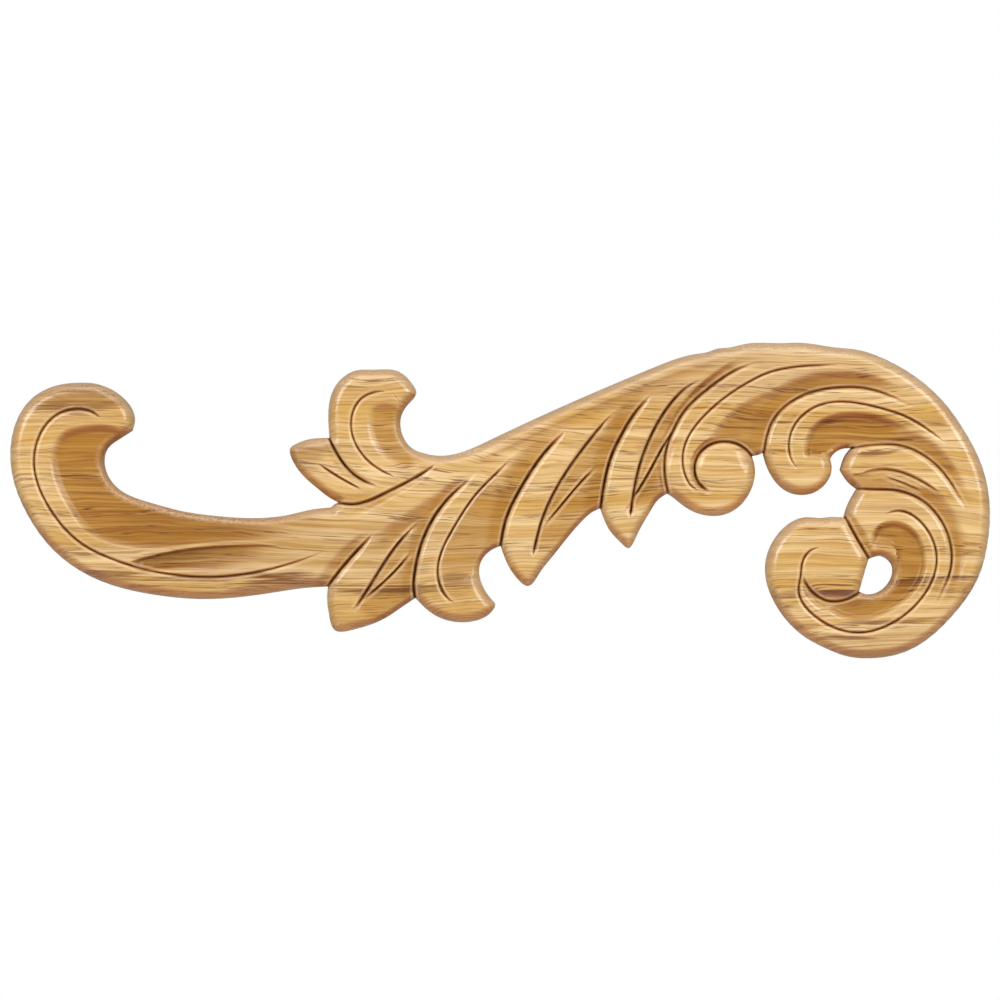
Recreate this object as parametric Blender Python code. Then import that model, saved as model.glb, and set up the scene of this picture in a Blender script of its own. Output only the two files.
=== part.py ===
"""A carved oak scroll applique: one board, flat behind, sawn to an acanthus scroll and carved in front.

The back lies in the plane y = 0, the carving faces -Y, +X runs along the scroll and +Z is up.
The origin is on the back, in the middle of the length and of the height.

The pattern is drawn in the photograph's 1000 x 1000 frame, x to the right and y down. It holds the
outline, as strokes that meet at corners, and the carver's cuts, each from its root to its tail.
LENGTH turns it into real sizes, and every depth and width of a cut is given in millimetres.
"""

from dataclasses import dataclass

import bmesh
import bpy
import numpy as np
from mathutils import Vector
from mathutils.geometry import delaunay_2d_cdt
from mathutils.kdtree import KDTree

MM = 0.001

# Driving dimensions, in millimetres
LENGTH = 300.0
THICKNESS = 12.0
EDGE_WIDTH = 3.6
EDGE_DROP = 4.4

# The drawn pattern's extent in its own units
PATTERN_LEFT = 10.5
PATTERN_RIGHT = 989.5
PATTERN_TOP = 342.7
PATTERN_BOTTOM = 658.3
UNIT = LENGTH / (PATTERN_RIGHT - PATTERN_LEFT)
MIDDLE = ((PATTERN_LEFT + PATTERN_RIGHT) / 2, (PATTERN_TOP + PATTERN_BOTTOM) / 2)

# Spacing of the facets, in millimetres
OUTLINE_STEP = 2.6
CUT_STEP = 3.0
FILL_STEP = 2.6
DRAWN_STEP = 0.4

# Rows of points beside the edge, as shares of its width, and beside each cut, in millimetres. A row
# loses the points that lie closer than this share of its own distance to another line
EDGE_ROWS = (0.2, 0.62, 1.15)
CUT_ROWS = (0.55, 1.7)
ROW_SLACK = 0.85

# Room that the even fill keeps, as shares of its spacing: to the rows, and to the rounded edge
FILL_CLEARANCE = 0.6
EDGE_CLEARANCE = 0.33

# How sharply cuts that meet flow into one another: a higher power keeps each one crisper
BLEND_POWER = 4.0

# Width of the steep flank of a groove on its low side, in millimetres
FLANK_WIDTH = 0.8

# Share of a floor's reach over which it rises to the surface again
RISING_SHARE = 0.6

# Oak under a satin varnish, as linear colour, and the angle from which an edge is kept sharp
OAK_COLOUR = (0.52, 0.31, 0.12, 1)
OAK_ROUGHNESS = 0.42
SHARP_ANGLE = 50

OUTLINE = [
    # ragged crotch between the stem and the spur leaf
    [(338.5, 502.5), (335, 504), (331, 507.5)],
    # upper edge of the stem, round the bay, to the point of the left hook
    [(331, 507.5), (312, 509.5), (290, 514.5), (210, 515.5), (180, 511), (150, 503), (113, 485),
     (103, 459), (107, 447.5), (117, 439.5), (131, 430.5)],
    # head of the left hook and the long lower sweep
    [(131, 430.5), (133.3, 422), (97, 384), (80, 382.7), (62, 384.3), (32, 398.5), (10.5, 456),
     (32, 522), (48, 544), (92, 577), (150, 594), (208, 599), (275, 592.3), (305, 588), (328, 586.5)],
    # first leaf, with its blunt point at the lower left
    [(328, 586.5), (327.2, 600), (329, 614), (335, 630.3), (352, 630), (388, 616.5), (402, 607),
     (415.5, 598)],
    # second leaf, a curl with a beak
    [(415.5, 598), (433, 614), (477, 620.3), (494, 608.5), (495.3, 604.5), (492.5, 601)],
    [(492.5, 601), (487, 594), (480.2, 564), (491, 550.3), (500.5, 546)],
    # third leaf, pointed
    [(500.5, 546), (509, 567), (515.5, 576.5), (528, 586), (540, 572.5), (550, 559.5), (584, 519),
     (592, 512.3), (600.5, 508.3)],
    # fourth leaf, pointed
    [(600.5, 508.3), (609.5, 529.5), (624, 545.5), (628.5, 548.3), (632, 545), (637, 535), (651, 510),
     (659, 499), (667.5, 493.5)],
    # the bud and the short bridge beside it
    [(667.5, 493.5), (673, 497), (683, 505), (706, 515.4), (731, 512), (754.5, 466), (751.7, 456)],
    [(751.7, 456), (757, 455.3), (763.5, 452.5)],
    # the hanging curl and the small bay behind it
    [(763.5, 452.5), (766.5, 463), (789, 492), (813, 493), (831.6, 468), (830, 459)],
    [(830, 459), (833, 454.5), (841, 449.3), (852, 448)],
    # the small pointed leaf over the volute
    [(852, 448), (847, 454), (841, 470)],
    [(841, 470), (850.5, 483.5), (857.5, 489)],
    # edge of the volute's leaf
    [(857.5, 489), (847.5, 508), (844.7, 517.5)],
    # the volute, the great curl and the long back of the scroll
    [(844.7, 517.5), (833, 517), (821, 518), (808, 517.3), (767.3, 558), (777, 605.5), (806, 637.5),
     (826, 648.5), (848, 656.5), (866, 658.3), (908, 650.5), (950, 618), (979, 575), (986.5, 548),
     (984, 473), (963, 429), (946, 405), (878, 356.3), (858, 350), (835, 347.5), (800, 342.8),
     (780, 343.2), (745, 344), (728, 347.7), (716, 349), (710, 351.3), (696, 354), (655, 367),
     (490, 440), (438, 455.7), (424, 453.3), (411, 447.5), (401, 415.5), (413, 398.5)],
    # head of the upper curl
    [(413, 398.5), (416, 392.5), (413, 385), (397, 371), (372, 369.7), (357, 370.3), (338, 382.5),
     (329.5, 438)],
    # spur leaf, pointing left
    [(329.5, 438), (306, 440), (297, 443.5), (290.5, 448), (292, 459), (320, 490.5), (330, 498),
     (338.5, 502.5)],
]

# The one hole: a round pocket closed by the volute's straight side
HOLE = [
    [(868.5, 559), (880, 556), (892.5, 564.5), (884, 589.5), (866, 594.3), (859, 591.5)],
    [(859, 591.5), (863.5, 575.5), (868.5, 559)],
]


@dataclass
class Cut:
    """One cut of the gouge. Sizes are in millimetres, and shares are of the cut's own length.

    The groove lies on the line, with a rounded shoulder beside it. The floor lies on the side that
    isn't raised. It is level from start on, rises again towards reach, and never crosses the lines
    named in until. Start and reach are lists of distances, evenly spaced from the root to the tail.
    Ends and floor_ends are the shares over which groove and floor deepen from the root and die out
    at the tail.
    """

    line: list
    groove: float = 0.0
    shoulder: float = 0.0
    raised: str = "both"
    floor: float = 0.0
    start: tuple = (0.0,)
    reach: tuple = (60,)
    ends: tuple = (0.0, 0.2)
    floor_ends: tuple = (0.0, 0.35)
    until: tuple = ()


def vein(line, groove=1.2, shoulder=0.8, ends=(0.15, 0.2)):
    """A fine V groove with a small round shoulder on both sides."""
    return Cut(line, groove, shoulder, ends=ends)


def step(line, raised, groove=2.3, shoulder=2.0, ends=(0.0, 0.25), **floor):
    """The foot of a raised leaf: a round shoulder on its side, and a hollow floor on the other."""
    return Cut(line, groove, shoulder, raised, ends=ends, **floor)


def hollow(line, raised, floor, start, **more):
    """A hollow that falls away beside a line, with no groove on the line itself."""
    return Cut(line, raised=raised, floor=floor, start=start, **more)


# Right and left are as seen when walking along the line from its first point
CUTS = {
    "hook_vein": vein(
        [(103, 420), (96, 414), (61, 413.3), (35.3, 455), (51, 509), (85, 545.3), (108, 557),
         (230, 575.8), (295, 562.3), (340, 545.5)],
        groove=1.5, shoulder=1.1, ends=(0.03, 0.21)),
    "hook_hollow": hollow(
        [(133, 430), (118, 425), (100, 422.5), (78, 425), (62, 431), (52, 446), (68, 512), (90, 537),
         (118, 547), (160, 549.5), (198, 545), (340, 543)],
        "right", floor=1.6, start=(3.4, 3.6, 3.4, 1.8, 1.2, 2), floor_ends=(0.0, 0.32)),
    "stem_hollow": hollow(
        [(128, 561.5), (165, 552), (198, 546.8), (300, 544.5)],
        "left", floor=2.6, start=(1.0,), reach=(5, 9, 7), floor_ends=(0.1, 0.65)),
    "upper_curl_vein": vein(
        [(399, 479), (373, 465), (351.3, 424), (361, 399.5), (380, 392), (389, 392.5)],
        groove=1.3, shoulder=0.9, ends=(0.15, 0.15)),
    "upper_curl_beak": vein(
        [(391, 392.5), (396, 398), (401, 405)],
        groove=0.25, shoulder=1.0, ends=(0.4, 0.4)),
    "upper_curl_hollow": hollow(
        [(434, 465), (412, 472), (391, 466), (371.5, 446), (366, 420), (371, 406), (384, 401),
         (396, 403), (408, 410)],
        "left", floor=0.9, start=(3.0,), floor_ends=(0.2, 0.0)),
    "upper_curl_edge": step(
        [(329.3, 438), (350, 470.5), (371, 484), (382, 487.5)],
        "left", groove=2.2, shoulder=1.9, floor=0.4, reach=(4, 4, 3), ends=(0.0, 0.33)),
    "spur_vein": vein(
        [(316, 462), (338, 476.5), (364, 490.5)],
        groove=1.7, ends=(0.3, 0.25)),
    "stem_edge": step(
        [(338.5, 503), (352, 504.7), (382, 495), (418, 476.5), (439, 463)],
        "right", groove=1.9, shoulder=1.2, floor=0.4, reach=(3, 5, 3), ends=(0.0, 0.21)),
    "stem_flute_upper": hollow(
        [(345, 528), (378, 508), (410, 490), (442, 473)],
        "right", floor=1.5, start=(3.0,), floor_ends=(0.4, 0.35), until=("stem_edge",)),
    "stem_flute_lower": hollow(
        [(352, 549), (380, 527), (412, 505), (447, 482), (480, 460)],
        "left", floor=1.2, start=(4.0,), reach=(10,), floor_ends=(0.3, 0.3), until=("leaf_1_vein",
        "leaf_2_edge")),
    "back_cove": hollow(
        [(452, 466), (490, 452), (555, 421), (620, 393), (680, 369.5), (730, 358.5)],
        "left", floor=0.55, start=(2.0,), reach=(4, 6, 4), floor_ends=(0.15, 0.2)),
    "leaf_1_edge": step(
        [(328.5, 586), (347, 562.5), (376, 532)],
        "right", shoulder=2.2, floor=0.9, reach=(5, 5, 3), ends=(0.0, 0.36)),
    "leaf_1_vein": step(
        [(351, 614.5), (367, 590.5), (411, 529.5), (422, 520)],
        "left", groove=2.5, shoulder=1.4, floor=0.8, start=(0.6,), ends=(0.2, 0.27),
        floor_ends=(0.12, 0.35), until=("leaf_2_edge",)),
    "leaf_1_fork": vein(
        [(360, 602), (395, 571), (412.5, 550.5)],
        groove=2.2, ends=(0.3, 0.24)),
    "leaf_2_edge": step(
        [(415.3, 598), (414, 586), (415.3, 571), (424.5, 536.5), (454, 493), (478, 473.5)],
        "right", groove=2.5, shoulder=1.9, floor=1.1, reach=(7, 5, 3), ends=(0.0, 0.3)),
    "leaf_2_vein": step(
        [(458, 605), (448, 598), (438, 574), (454, 527.5), (477, 493.5), (506, 464.5), (520, 450.5)],
        "left", groove=1.9, shoulder=1.1, floor=0.9, start=(1.5,), ends=(0.12, 0.24),
        floor_ends=(0.3, 0.35), until=("leaf_3_edge",)),
    "leaf_3_edge": step(
        [(500.7, 546), (506, 520), (521, 488), (557, 439.5), (570, 428)],
        "right", groove=2.5, shoulder=1.9, floor=1.2, reach=(8, 9, 5)),
    "leaf_3_vein": step(
        [(532.5, 558), (541, 522.5), (590, 439.5), (603, 424), (616, 410.5)],
        "left", groove=2.4, shoulder=1.4, floor=0.9, start=(0.6,), ends=(0.08, 0.21),
        floor_ends=(0.12, 0.35), until=("leaf_4_edge",)),
    "leaf_3_fork": vein(
        [(540, 530), (560, 506.5), (585, 477.5), (597, 465.5)],
        groove=2.1, ends=(0.3, 0.21)),
    "leaf_4_edge": step(
        [(600.7, 508), (612.5, 453.5), (621, 436), (643, 403.5), (655, 392.5)],
        "right", groove=2.5, shoulder=1.9, floor=1.2, reach=(9, 8, 5)),
    "leaf_4_vein": step(
        [(629.8, 518), (638.5, 468), (654, 429), (677, 396), (690, 385.5), (703, 380)],
        "left", groove=2.4, shoulder=1.4, floor=0.9, start=(0.5,), ends=(0.05, 0.21),
        floor_ends=(0.14, 0.35), until=("bud_edge",)),
    "leaf_4_fork": step(
        [(631.5, 500), (650, 469.5), (659, 453), (673, 431)],
        "left", groove=2.2, shoulder=0.9, floor=1.0, reach=(4, 6, 3), ends=(0.15, 0.06)),
    "bud_edge": step(
        [(668, 493), (665.3, 479), (667, 446), (673.5, 430), (682, 414.5), (708, 389), (743, 367.3),
         (765, 362)],
        "right", groove=2.0, shoulder=1.9, floor=1.3, reach=(4, 3, 4), ends=(0.0, 0.24)),
    "bud_vein": vein(
        [(703, 492.5), (693, 488), (685.5, 477), (684, 446.5), (701, 419), (748, 382.5), (768, 373),
         (790, 368), (846, 365.5)],
        groove=1.4, shoulder=0.9, ends=(0.1, 0.21)),
    "bud_hollow": hollow(
        [(700, 468), (702, 450), (736, 404), (760, 392), (830, 377)],
        "left", floor=1.2, start=(3.5,), floor_ends=(0.06, 0.45), until=("hanging_curl_edge",
        "bud_ball")),
    "bud_ball": step(
        [(752, 457), (744, 448.5), (707, 446.5), (694.3, 468), (704, 488.7), (714, 493)],
        "left", groove=2.3, shoulder=3.6, floor=1.2, reach=(3, 2, 1.2), ends=(0.0, 0.13),
        floor_ends=(0.0, 0.22)),
    "hanging_curl_edge": step(
        [(763.7, 452.5), (772.5, 421), (817, 391), (838, 388), (860, 388.2), (922, 412)],
        "right", groove=2.0, shoulder=1.9, floor=1.4, reach=(9, 6, 4), ends=(0.0, 0.3)),
    "hanging_curl_vein": vein(
        [(799, 472), (791, 460), (791.5, 430), (815, 407), (880, 408.5), (903, 416), (949, 447)],
        groove=1.4, shoulder=0.9, ends=(0.12, 0.18)),
    "hanging_curl_hollow": hollow(
        [(815, 477), (804.5, 464), (801.5, 447), (811, 424), (836, 412), (880, 414), (905, 424),
         (936, 444)],
        "left", floor=1.6, start=(3.0,), floor_ends=(0.14, 0.35), until=("tongue_edge",)),
    "tongue_edge": step(
        [(852, 448), (902, 446.5), (937, 467), (967, 513)],
        "right", groove=1.8, shoulder=2.0, floor=1.3, reach=(6, 6, 3)),
    "tongue_vein": step(
        [(858, 473.5), (881, 469.3), (927, 485), (941, 495)],
        "left", groove=1.5, shoulder=1.0, floor=0.9, reach=(3, 4.5, 3), ends=(0.3, 0.21)),
    "tongue_fork": vein(
        [(878, 475), (893, 479.5), (925, 493)],
        groove=1.4, ends=(0.35, 0.24)),
    "volute_edge": step(
        [(857.7, 489), (875, 489.7), (893, 490.3), (929, 507), (950.5, 562), (930, 611)],
        "right", groove=1.9, shoulder=1.9, floor=1.2, reach=(5, 6, 4), ends=(0.0, 0.24)),
    "volute_vein": vein(
        [(880, 516), (899, 511), (923, 525.5), (935.7, 559), (864, 632), (819, 619.5), (798, 590),
         (800, 575), (801.5, 563), (808, 552), (822, 546.5)],
        groove=1.5, shoulder=1.0, ends=(0.08, 0.06)),
    "volute_hollow": hollow(
        [(867, 556), (867.5, 541), (875, 525), (890, 519.5), (908, 523.5), (926, 548), (925, 576),
         (896, 610), (862, 623), (834, 616.5), (812, 600)],
        "left", floor=1.9, start=(2.8,), reach=(22, 22, 22, 12, 5), floor_ends=(0.1, 0.12)),
    "eye_edge": step(
        [(859, 592), (850, 597.5), (825, 600), (804.5, 582), (800.5, 573)],
        "right", groove=2.0, shoulder=2.8, floor=0.8, reach=(3, 4, 1.5), ends=(0.0, 0.18)),
    "volute_side": step(
        [(844.7, 517.5), (859, 543.5), (868.5, 559)],
        "right", groove=2.2, shoulder=3.2, floor=1.1, reach=(3, 4, 3), ends=(0.0, 0.0),
        floor_ends=(0.0, 0.0)),
}


def smooth_line(knots, spacing):
    """Points about this far apart, in millimetres, along the natural cubic spline through the knots."""
    drawn = np.array(knots, float)
    knots = (drawn - MIDDLE) * (UNIT, -UNIT)
    u = np.concatenate([[0.0], np.cumsum(np.hypot(*np.diff(knots, axis=0).T))])
    gap = np.diff(u)[:, None]
    slope = np.diff(knots, axis=0) / gap
    system = np.eye(len(u))
    bend = np.zeros_like(knots)
    for i in range(1, len(u) - 1):
        system[i, i - 1 : i + 2] = gap[i - 1, 0], 2 * (gap[i - 1, 0] + gap[i, 0]), gap[i, 0]
        bend[i] = 6 * (slope[i] - slope[i - 1])
    bend = np.linalg.solve(system, bend)
    at = np.linspace(0, u[-1], max(2, round(u[-1] / spacing) + 1))
    i = np.clip(np.searchsorted(u, at, side="right") - 1, 0, len(u) - 2)
    b = (at - u[i])[:, None] / gap[i]
    a = 1 - b
    curve = ((a**3 - a) * bend[i] + (b**3 - b) * bend[i + 1]) * gap[i] ** 2 / 6
    return a * knots[i] + b * knots[i + 1] + curve


def closed_line(strokes, spacing):
    """The strokes of a closed outline as one ring of points, the last of which isn't the first again."""
    return np.concatenate([smooth_line(stroke, spacing)[:-1] for stroke in strokes])


def tree_of(points):
    """A search tree of points on the plane."""
    tree = KDTree(len(points))
    for i, (x, z) in enumerate(points):
        tree.insert((x, z, 0.0), i)
    tree.balance()
    return tree


def nearest(tree, points):
    """The index of the nearest point in the tree, and how far it is, for each point."""
    found = [tree.find((x, z, 0.0)) for x, z in points]
    return np.array([f[1] for f in found]), np.array([f[2] for f in found])


def measure(line, points):
    """How far each point lies from the line, at which share of its length, and True on its right."""
    index, _ = nearest(tree_of(line), points)
    travelled = np.concatenate([[0.0], np.cumsum(np.hypot(*np.diff(line, axis=0).T))])
    best = np.full(len(points), np.inf)
    share = np.zeros(len(points))
    right = np.zeros(len(points), bool)
    for first in (index - 1, index):
        first = np.clip(first, 0, len(line) - 2)
        start, run = line[first], line[first + 1] - line[first]
        offset = points - start
        t = np.clip((offset * run).sum(1) / (run * run).sum(1), 0, 1)
        distance = np.hypot(*(offset - run * t[:, None]).T)
        closer = distance < best
        best[closer] = distance[closer]
        share[closer] = ((travelled[first] + t * np.hypot(*run.T)) / travelled[-1])[closer]
        right[closer] = (offset[:, 0] * run[:, 1] - offset[:, 1] * run[:, 0] > 0)[closer]
    return best, share, right


def ease(x):
    """A smooth rise from 0 to 1 as x goes from 0 to 1."""
    x = np.clip(x, 0, 1)
    return x * x * (3 - 2 * x)


def fade(share, ends):
    """How much of its full depth a cut has along its length, from its root to its tail."""
    root = ease(share / ends[0]) if ends[0] else 1.0
    tail = ease((1 - share) / ends[1]) if ends[1] else 1.0
    return root * tail


def round_drop(distance, width):
    """A quarter ellipse: 1 at the line, where it is steep, and 0 from the width on, where it is level."""
    inside = np.clip(1 - distance / width, 0, 1)
    return 1 - np.sqrt(1 - inside**2)


def along(share, values):
    """A size given at even steps from root to tail, at these shares of the length."""
    return np.interp(share, np.linspace(0, 1, len(values)), values)


def cut_depth(cut, distance, share, right):
    """How deep the groove and the floor of this cut go at points with these measures from its line."""
    low_side = np.zeros(len(right), bool) if cut.raised == "both" else right != (cut.raised == "right")
    strength = fade(share, cut.ends)
    groove = np.zeros(len(right))
    if cut.groove:
        shoulder = round_drop(distance, cut.shoulder)
        flank = np.clip(1 - distance / FLANK_WIDTH, 0, 1)
        low = max(cut.groove - cut.floor, 0) * flank
        groove = strength * np.where(low_side, low, cut.groove * shoulder)
    level = ease(distance / along(share, cut.start)) if any(cut.start) else 1.0
    rise = ease((1 - distance / along(share, cut.reach)) / RISING_SHARE)
    return groove, low_side * cut.floor * fade(share, cut.floor_ends) * level * rise


def same_side(points, name, of_line):
    """1 on the side of the named cut that the middle of a line lies on, falling to 0 at that cut."""
    fence = smooth_line(CUTS[name].line, DRAWN_STEP)
    distance, _, right = measure(fence, np.vstack([points, of_line[len(of_line) // 2]]))
    return (right[:-1] == right[-1]) * ease(distance[:-1] / (FLANK_WIDTH / 2))


def carve(points, edge):
    """How far the carved surface lies under the top of the board, at each point of the plane."""
    _, distance = nearest(tree_of(edge), points)
    total = (EDGE_DROP * round_drop(distance, EDGE_WIDTH)) ** BLEND_POWER
    for cut in CUTS.values():
        line = smooth_line(cut.line, DRAWN_STEP)
        margin = max(cut.reach) if cut.floor else cut.shoulder
        low, high = line.min(0) - margin, line.max(0) + margin
        near = np.flatnonzero(((points > low) & (points < high)).all(1))
        groove, floor = cut_depth(cut, *measure(line, points[near]))
        for name in cut.until:
            floor *= same_side(points[near], name, line)
        total[near] += (groove + floor) ** BLEND_POWER
    return total ** (1 / BLEND_POWER)


def beside(line, distance, closed=False):
    """The line's points moved sideways by this distance, to the right when it is positive."""
    run = np.roll(line, -1, 0) - np.roll(line, 1, 0) if closed else np.gradient(line, axis=0)
    run /= np.hypot(*run.T)[:, None]
    return line + distance * np.stack([run[:, 1], -run[:, 0]], 1)


def row_points(rings, lines, drawn):
    """Rows beside the edge and the cuts, without the points that another line has come closer to."""
    tree = tree_of(drawn)
    rows = [(beside(ring, -share * EDGE_WIDTH, closed=True), share * EDGE_WIDTH)
            for ring in rings for share in EDGE_ROWS]
    rows += [(beside(line, side * distance), distance)
             for line in lines for distance in CUT_ROWS for side in (-1, 1)]
    kept = []
    for row, distance in rows:
        _, found = nearest(tree, row)
        kept.append(row[found > ROW_SLACK * distance])
    return np.concatenate(kept)


def fill_points(edge, taken):
    """An even triangular grid over the board, clear of its rounded edge and of the points taken."""
    low, high = edge.min(0), edge.max(0)
    rise = FILL_STEP * np.sqrt(3) / 2
    across, up = np.meshgrid(np.arange(low[0], high[0], FILL_STEP), np.arange(low[1], high[1], rise))
    across[::2] += FILL_STEP / 2
    grid = np.stack([across.ravel(), up.ravel()], 1)
    _, to_edge = nearest(tree_of(edge), grid)
    grid = grid[to_edge > EDGE_ROWS[-1] * EDGE_WIDTH + EDGE_CLEARANCE * FILL_STEP]
    _, found = nearest(tree_of(taken), grid)
    return grid[found > FILL_CLEARANCE * FILL_STEP]


def within(ring, points):
    """True for the points inside a closed ring."""
    inside = np.zeros(len(points), bool)
    for (x0, z0), (x1, z1) in zip(ring, np.roll(ring, -1, 0)):
        crosses = (z0 > points[:, 1]) != (z1 > points[:, 1])
        if crosses.any():
            x = x0 + (points[crosses, 1] - z0) / (z1 - z0) * (x1 - x0)
            inside[crosses] ^= points[crosses, 0] < x
    return inside


def plan_mesh():
    """The pattern as triangles on the plane: their points, their corners, and the true edge."""
    edge = np.concatenate([closed_line(OUTLINE, DRAWN_STEP), closed_line(HOLE, DRAWN_STEP)])
    drawn = np.concatenate([edge, *[smooth_line(cut.line, DRAWN_STEP) for cut in CUTS.values()]])
    rings = [closed_line(OUTLINE, OUTLINE_STEP), closed_line(HOLE, OUTLINE_STEP)]
    lines = [smooth_line(cut.line, CUT_STEP) for cut in CUTS.values()]
    creases = [line[1:-1] for line in lines]
    joined, count = [], 0
    for ring in rings:
        joined += [(count + i, count + (i + 1) % len(ring)) for i in range(len(ring))]
        count += len(ring)
    for crease in creases:
        joined += [(count + i, count + i + 1) for i in range(len(crease) - 1)]
        count += len(crease)
    rows = row_points(rings, lines, drawn)
    fill = fill_points(edge, np.concatenate([rows, *creases]))
    points = np.concatenate([*rings, *creases, rows, fill])
    made = delaunay_2d_cdt([Vector(p) for p in points], joined, [], 1, 1e-4)
    flat = np.array([(p.x, p.y) for p in made[0]])
    faces = np.array(made[2])
    return flat, faces[~within(rings[1], flat[faces].mean(1))], edge


def oak(name):
    """Oak under a satin varnish."""
    material = bpy.data.materials.new(name)
    material.use_nodes = True
    shader = material.node_tree.nodes["Principled BSDF"]
    shader.inputs["Base Color"].default_value = OAK_COLOUR
    shader.inputs["Roughness"].default_value = OAK_ROUGHNESS
    shader.inputs["Metallic"].default_value = 0.0
    return material


def scroll(name):
    """The whole applique: its flat pattern is extruded from front to back, and the front is sunk.

    The facets of the face are made one by one, because their corners have to follow every cut.
    """
    flat, faces, edge = plan_mesh()
    depth = carve(flat, edge)
    work = bmesh.new()
    top = [work.verts.new((x * MM, -THICKNESS * MM, z * MM)) for x, z in flat]
    for a, b, c in faces:
        work.faces.new((top[a], top[b], top[c]))
    loose = [v for v in work.verts if not v.link_faces]
    bmesh.ops.delete(work, geom=loose, context="VERTS")
    boundary = [e for e in work.edges if e.is_boundary]
    wall = bmesh.ops.extrude_edge_only(work, edges=boundary)["geom"]
    back = {v for v in wall if isinstance(v, bmesh.types.BMVert)}
    for vert in back:
        vert.co.y = 0.0
    for vert, sunk in zip(top, depth):
        if vert.is_valid:
            vert.co.y += sunk * MM
    back_rings = [e for e in wall if isinstance(e, bmesh.types.BMEdge) and back.issuperset(e.verts)]
    bmesh.ops.triangle_fill(work, edges=back_rings, use_beauty=True)
    bmesh.ops.recalc_face_normals(work, faces=work.faces[:])
    mesh = bpy.data.meshes.new(name)
    work.to_mesh(mesh)
    work.free()
    mesh.shade_smooth()
    mesh.set_sharp_from_angle(angle=np.radians(SHARP_ANGLE))
    mesh.materials.append(oak("oak"))
    return bpy.data.objects.new(name, mesh)


def main():
    for thing in list(bpy.data.objects):
        bpy.data.objects.remove(thing)
    collection = bpy.data.collections.new("scroll_applique")
    bpy.context.scene.collection.children.link(collection)
    collection.objects.link(scroll("carved_scroll"))


main()
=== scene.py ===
# %% [markdown]
# # A carved oak scroll
#
# This script dresses one board of oak: an acanthus scroll, sawn to its outline and carved in front.
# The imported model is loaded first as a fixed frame, in metres, with its flat back in the plane y = 0.
# The carving faces -Y, the grain runs along X and +Z is up.
# The box of that model is kept, because the finished piece has to stay inside it.

# %% Load the frame
import math
from dataclasses import dataclass

import bmesh
import bpy
import numpy as np
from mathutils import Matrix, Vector
from mathutils.geometry import delaunay_2d_cdt
from mathutils.kdtree import KDTree


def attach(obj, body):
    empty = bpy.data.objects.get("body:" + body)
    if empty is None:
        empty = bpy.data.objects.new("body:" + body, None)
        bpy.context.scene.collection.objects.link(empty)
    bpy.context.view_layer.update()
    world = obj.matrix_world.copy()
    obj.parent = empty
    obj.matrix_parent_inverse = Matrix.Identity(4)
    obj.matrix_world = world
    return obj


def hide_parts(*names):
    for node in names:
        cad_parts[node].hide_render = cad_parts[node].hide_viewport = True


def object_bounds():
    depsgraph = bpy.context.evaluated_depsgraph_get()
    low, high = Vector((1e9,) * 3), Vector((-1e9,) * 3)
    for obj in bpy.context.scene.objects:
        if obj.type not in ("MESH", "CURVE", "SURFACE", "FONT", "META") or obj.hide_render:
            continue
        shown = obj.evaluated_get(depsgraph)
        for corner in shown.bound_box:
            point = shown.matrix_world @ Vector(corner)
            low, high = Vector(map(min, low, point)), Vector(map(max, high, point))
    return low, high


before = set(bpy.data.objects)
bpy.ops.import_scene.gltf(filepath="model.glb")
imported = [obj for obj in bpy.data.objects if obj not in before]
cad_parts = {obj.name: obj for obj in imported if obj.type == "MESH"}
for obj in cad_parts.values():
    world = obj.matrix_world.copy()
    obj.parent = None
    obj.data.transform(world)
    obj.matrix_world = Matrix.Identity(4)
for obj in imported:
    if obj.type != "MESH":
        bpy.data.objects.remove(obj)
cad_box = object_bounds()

print("frame box", [[round(float(v), 4) for v in corner] for corner in cad_box])

# %% [markdown]
# ## The sizes
#
# The board's thickness is read from the frame. Everything else on the carving is a width or a depth
# in millimetres, the way a carver measures it. The edge was rounded over with a rasp and
# sanded, so it falls away as a quarter of an ellipse, a little deeper than it is wide.

# %% Sizes of the board and of its edge
MM = 0.001
cad_low, cad_high = [np.array((corner[0], corner[2])) / MM for corner in cad_box]
LENGTH = 300.0
THICKNESS = float(cad_box[1][1] - cad_box[0][1]) / MM
EDGE_WIDTH = 3.6
EDGE_DROP = 4.4

# The drawn pattern's extent in its own units
PATTERN_LEFT = 10.5
PATTERN_RIGHT = 989.5
PATTERN_TOP = 342.7
PATTERN_BOTTOM = 658.3
UNIT = LENGTH / (PATTERN_RIGHT - PATTERN_LEFT)
MIDDLE = ((PATTERN_LEFT + PATTERN_RIGHT) / 2, (PATTERN_TOP + PATTERN_BOTTOM) / 2)
print(f"board {LENGTH:.1f} mm long, {THICKNESS:.1f} mm thick, {UNIT:.4f} mm a unit of the pattern")

# %% [markdown]
# ## The paper pattern
#
# A carver starts from a full-size drawing pasted on the board. It could be traced with a curve object,
# but then nobody could read why a point is where it is. Here the outline is a list of strokes that
# meet at corners, in the photograph's 1000 x 1000 frame, x to the right and y down. Each stroke is
# one sweep of the pencil, and has only the knots that a smooth line through it needs.

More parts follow.
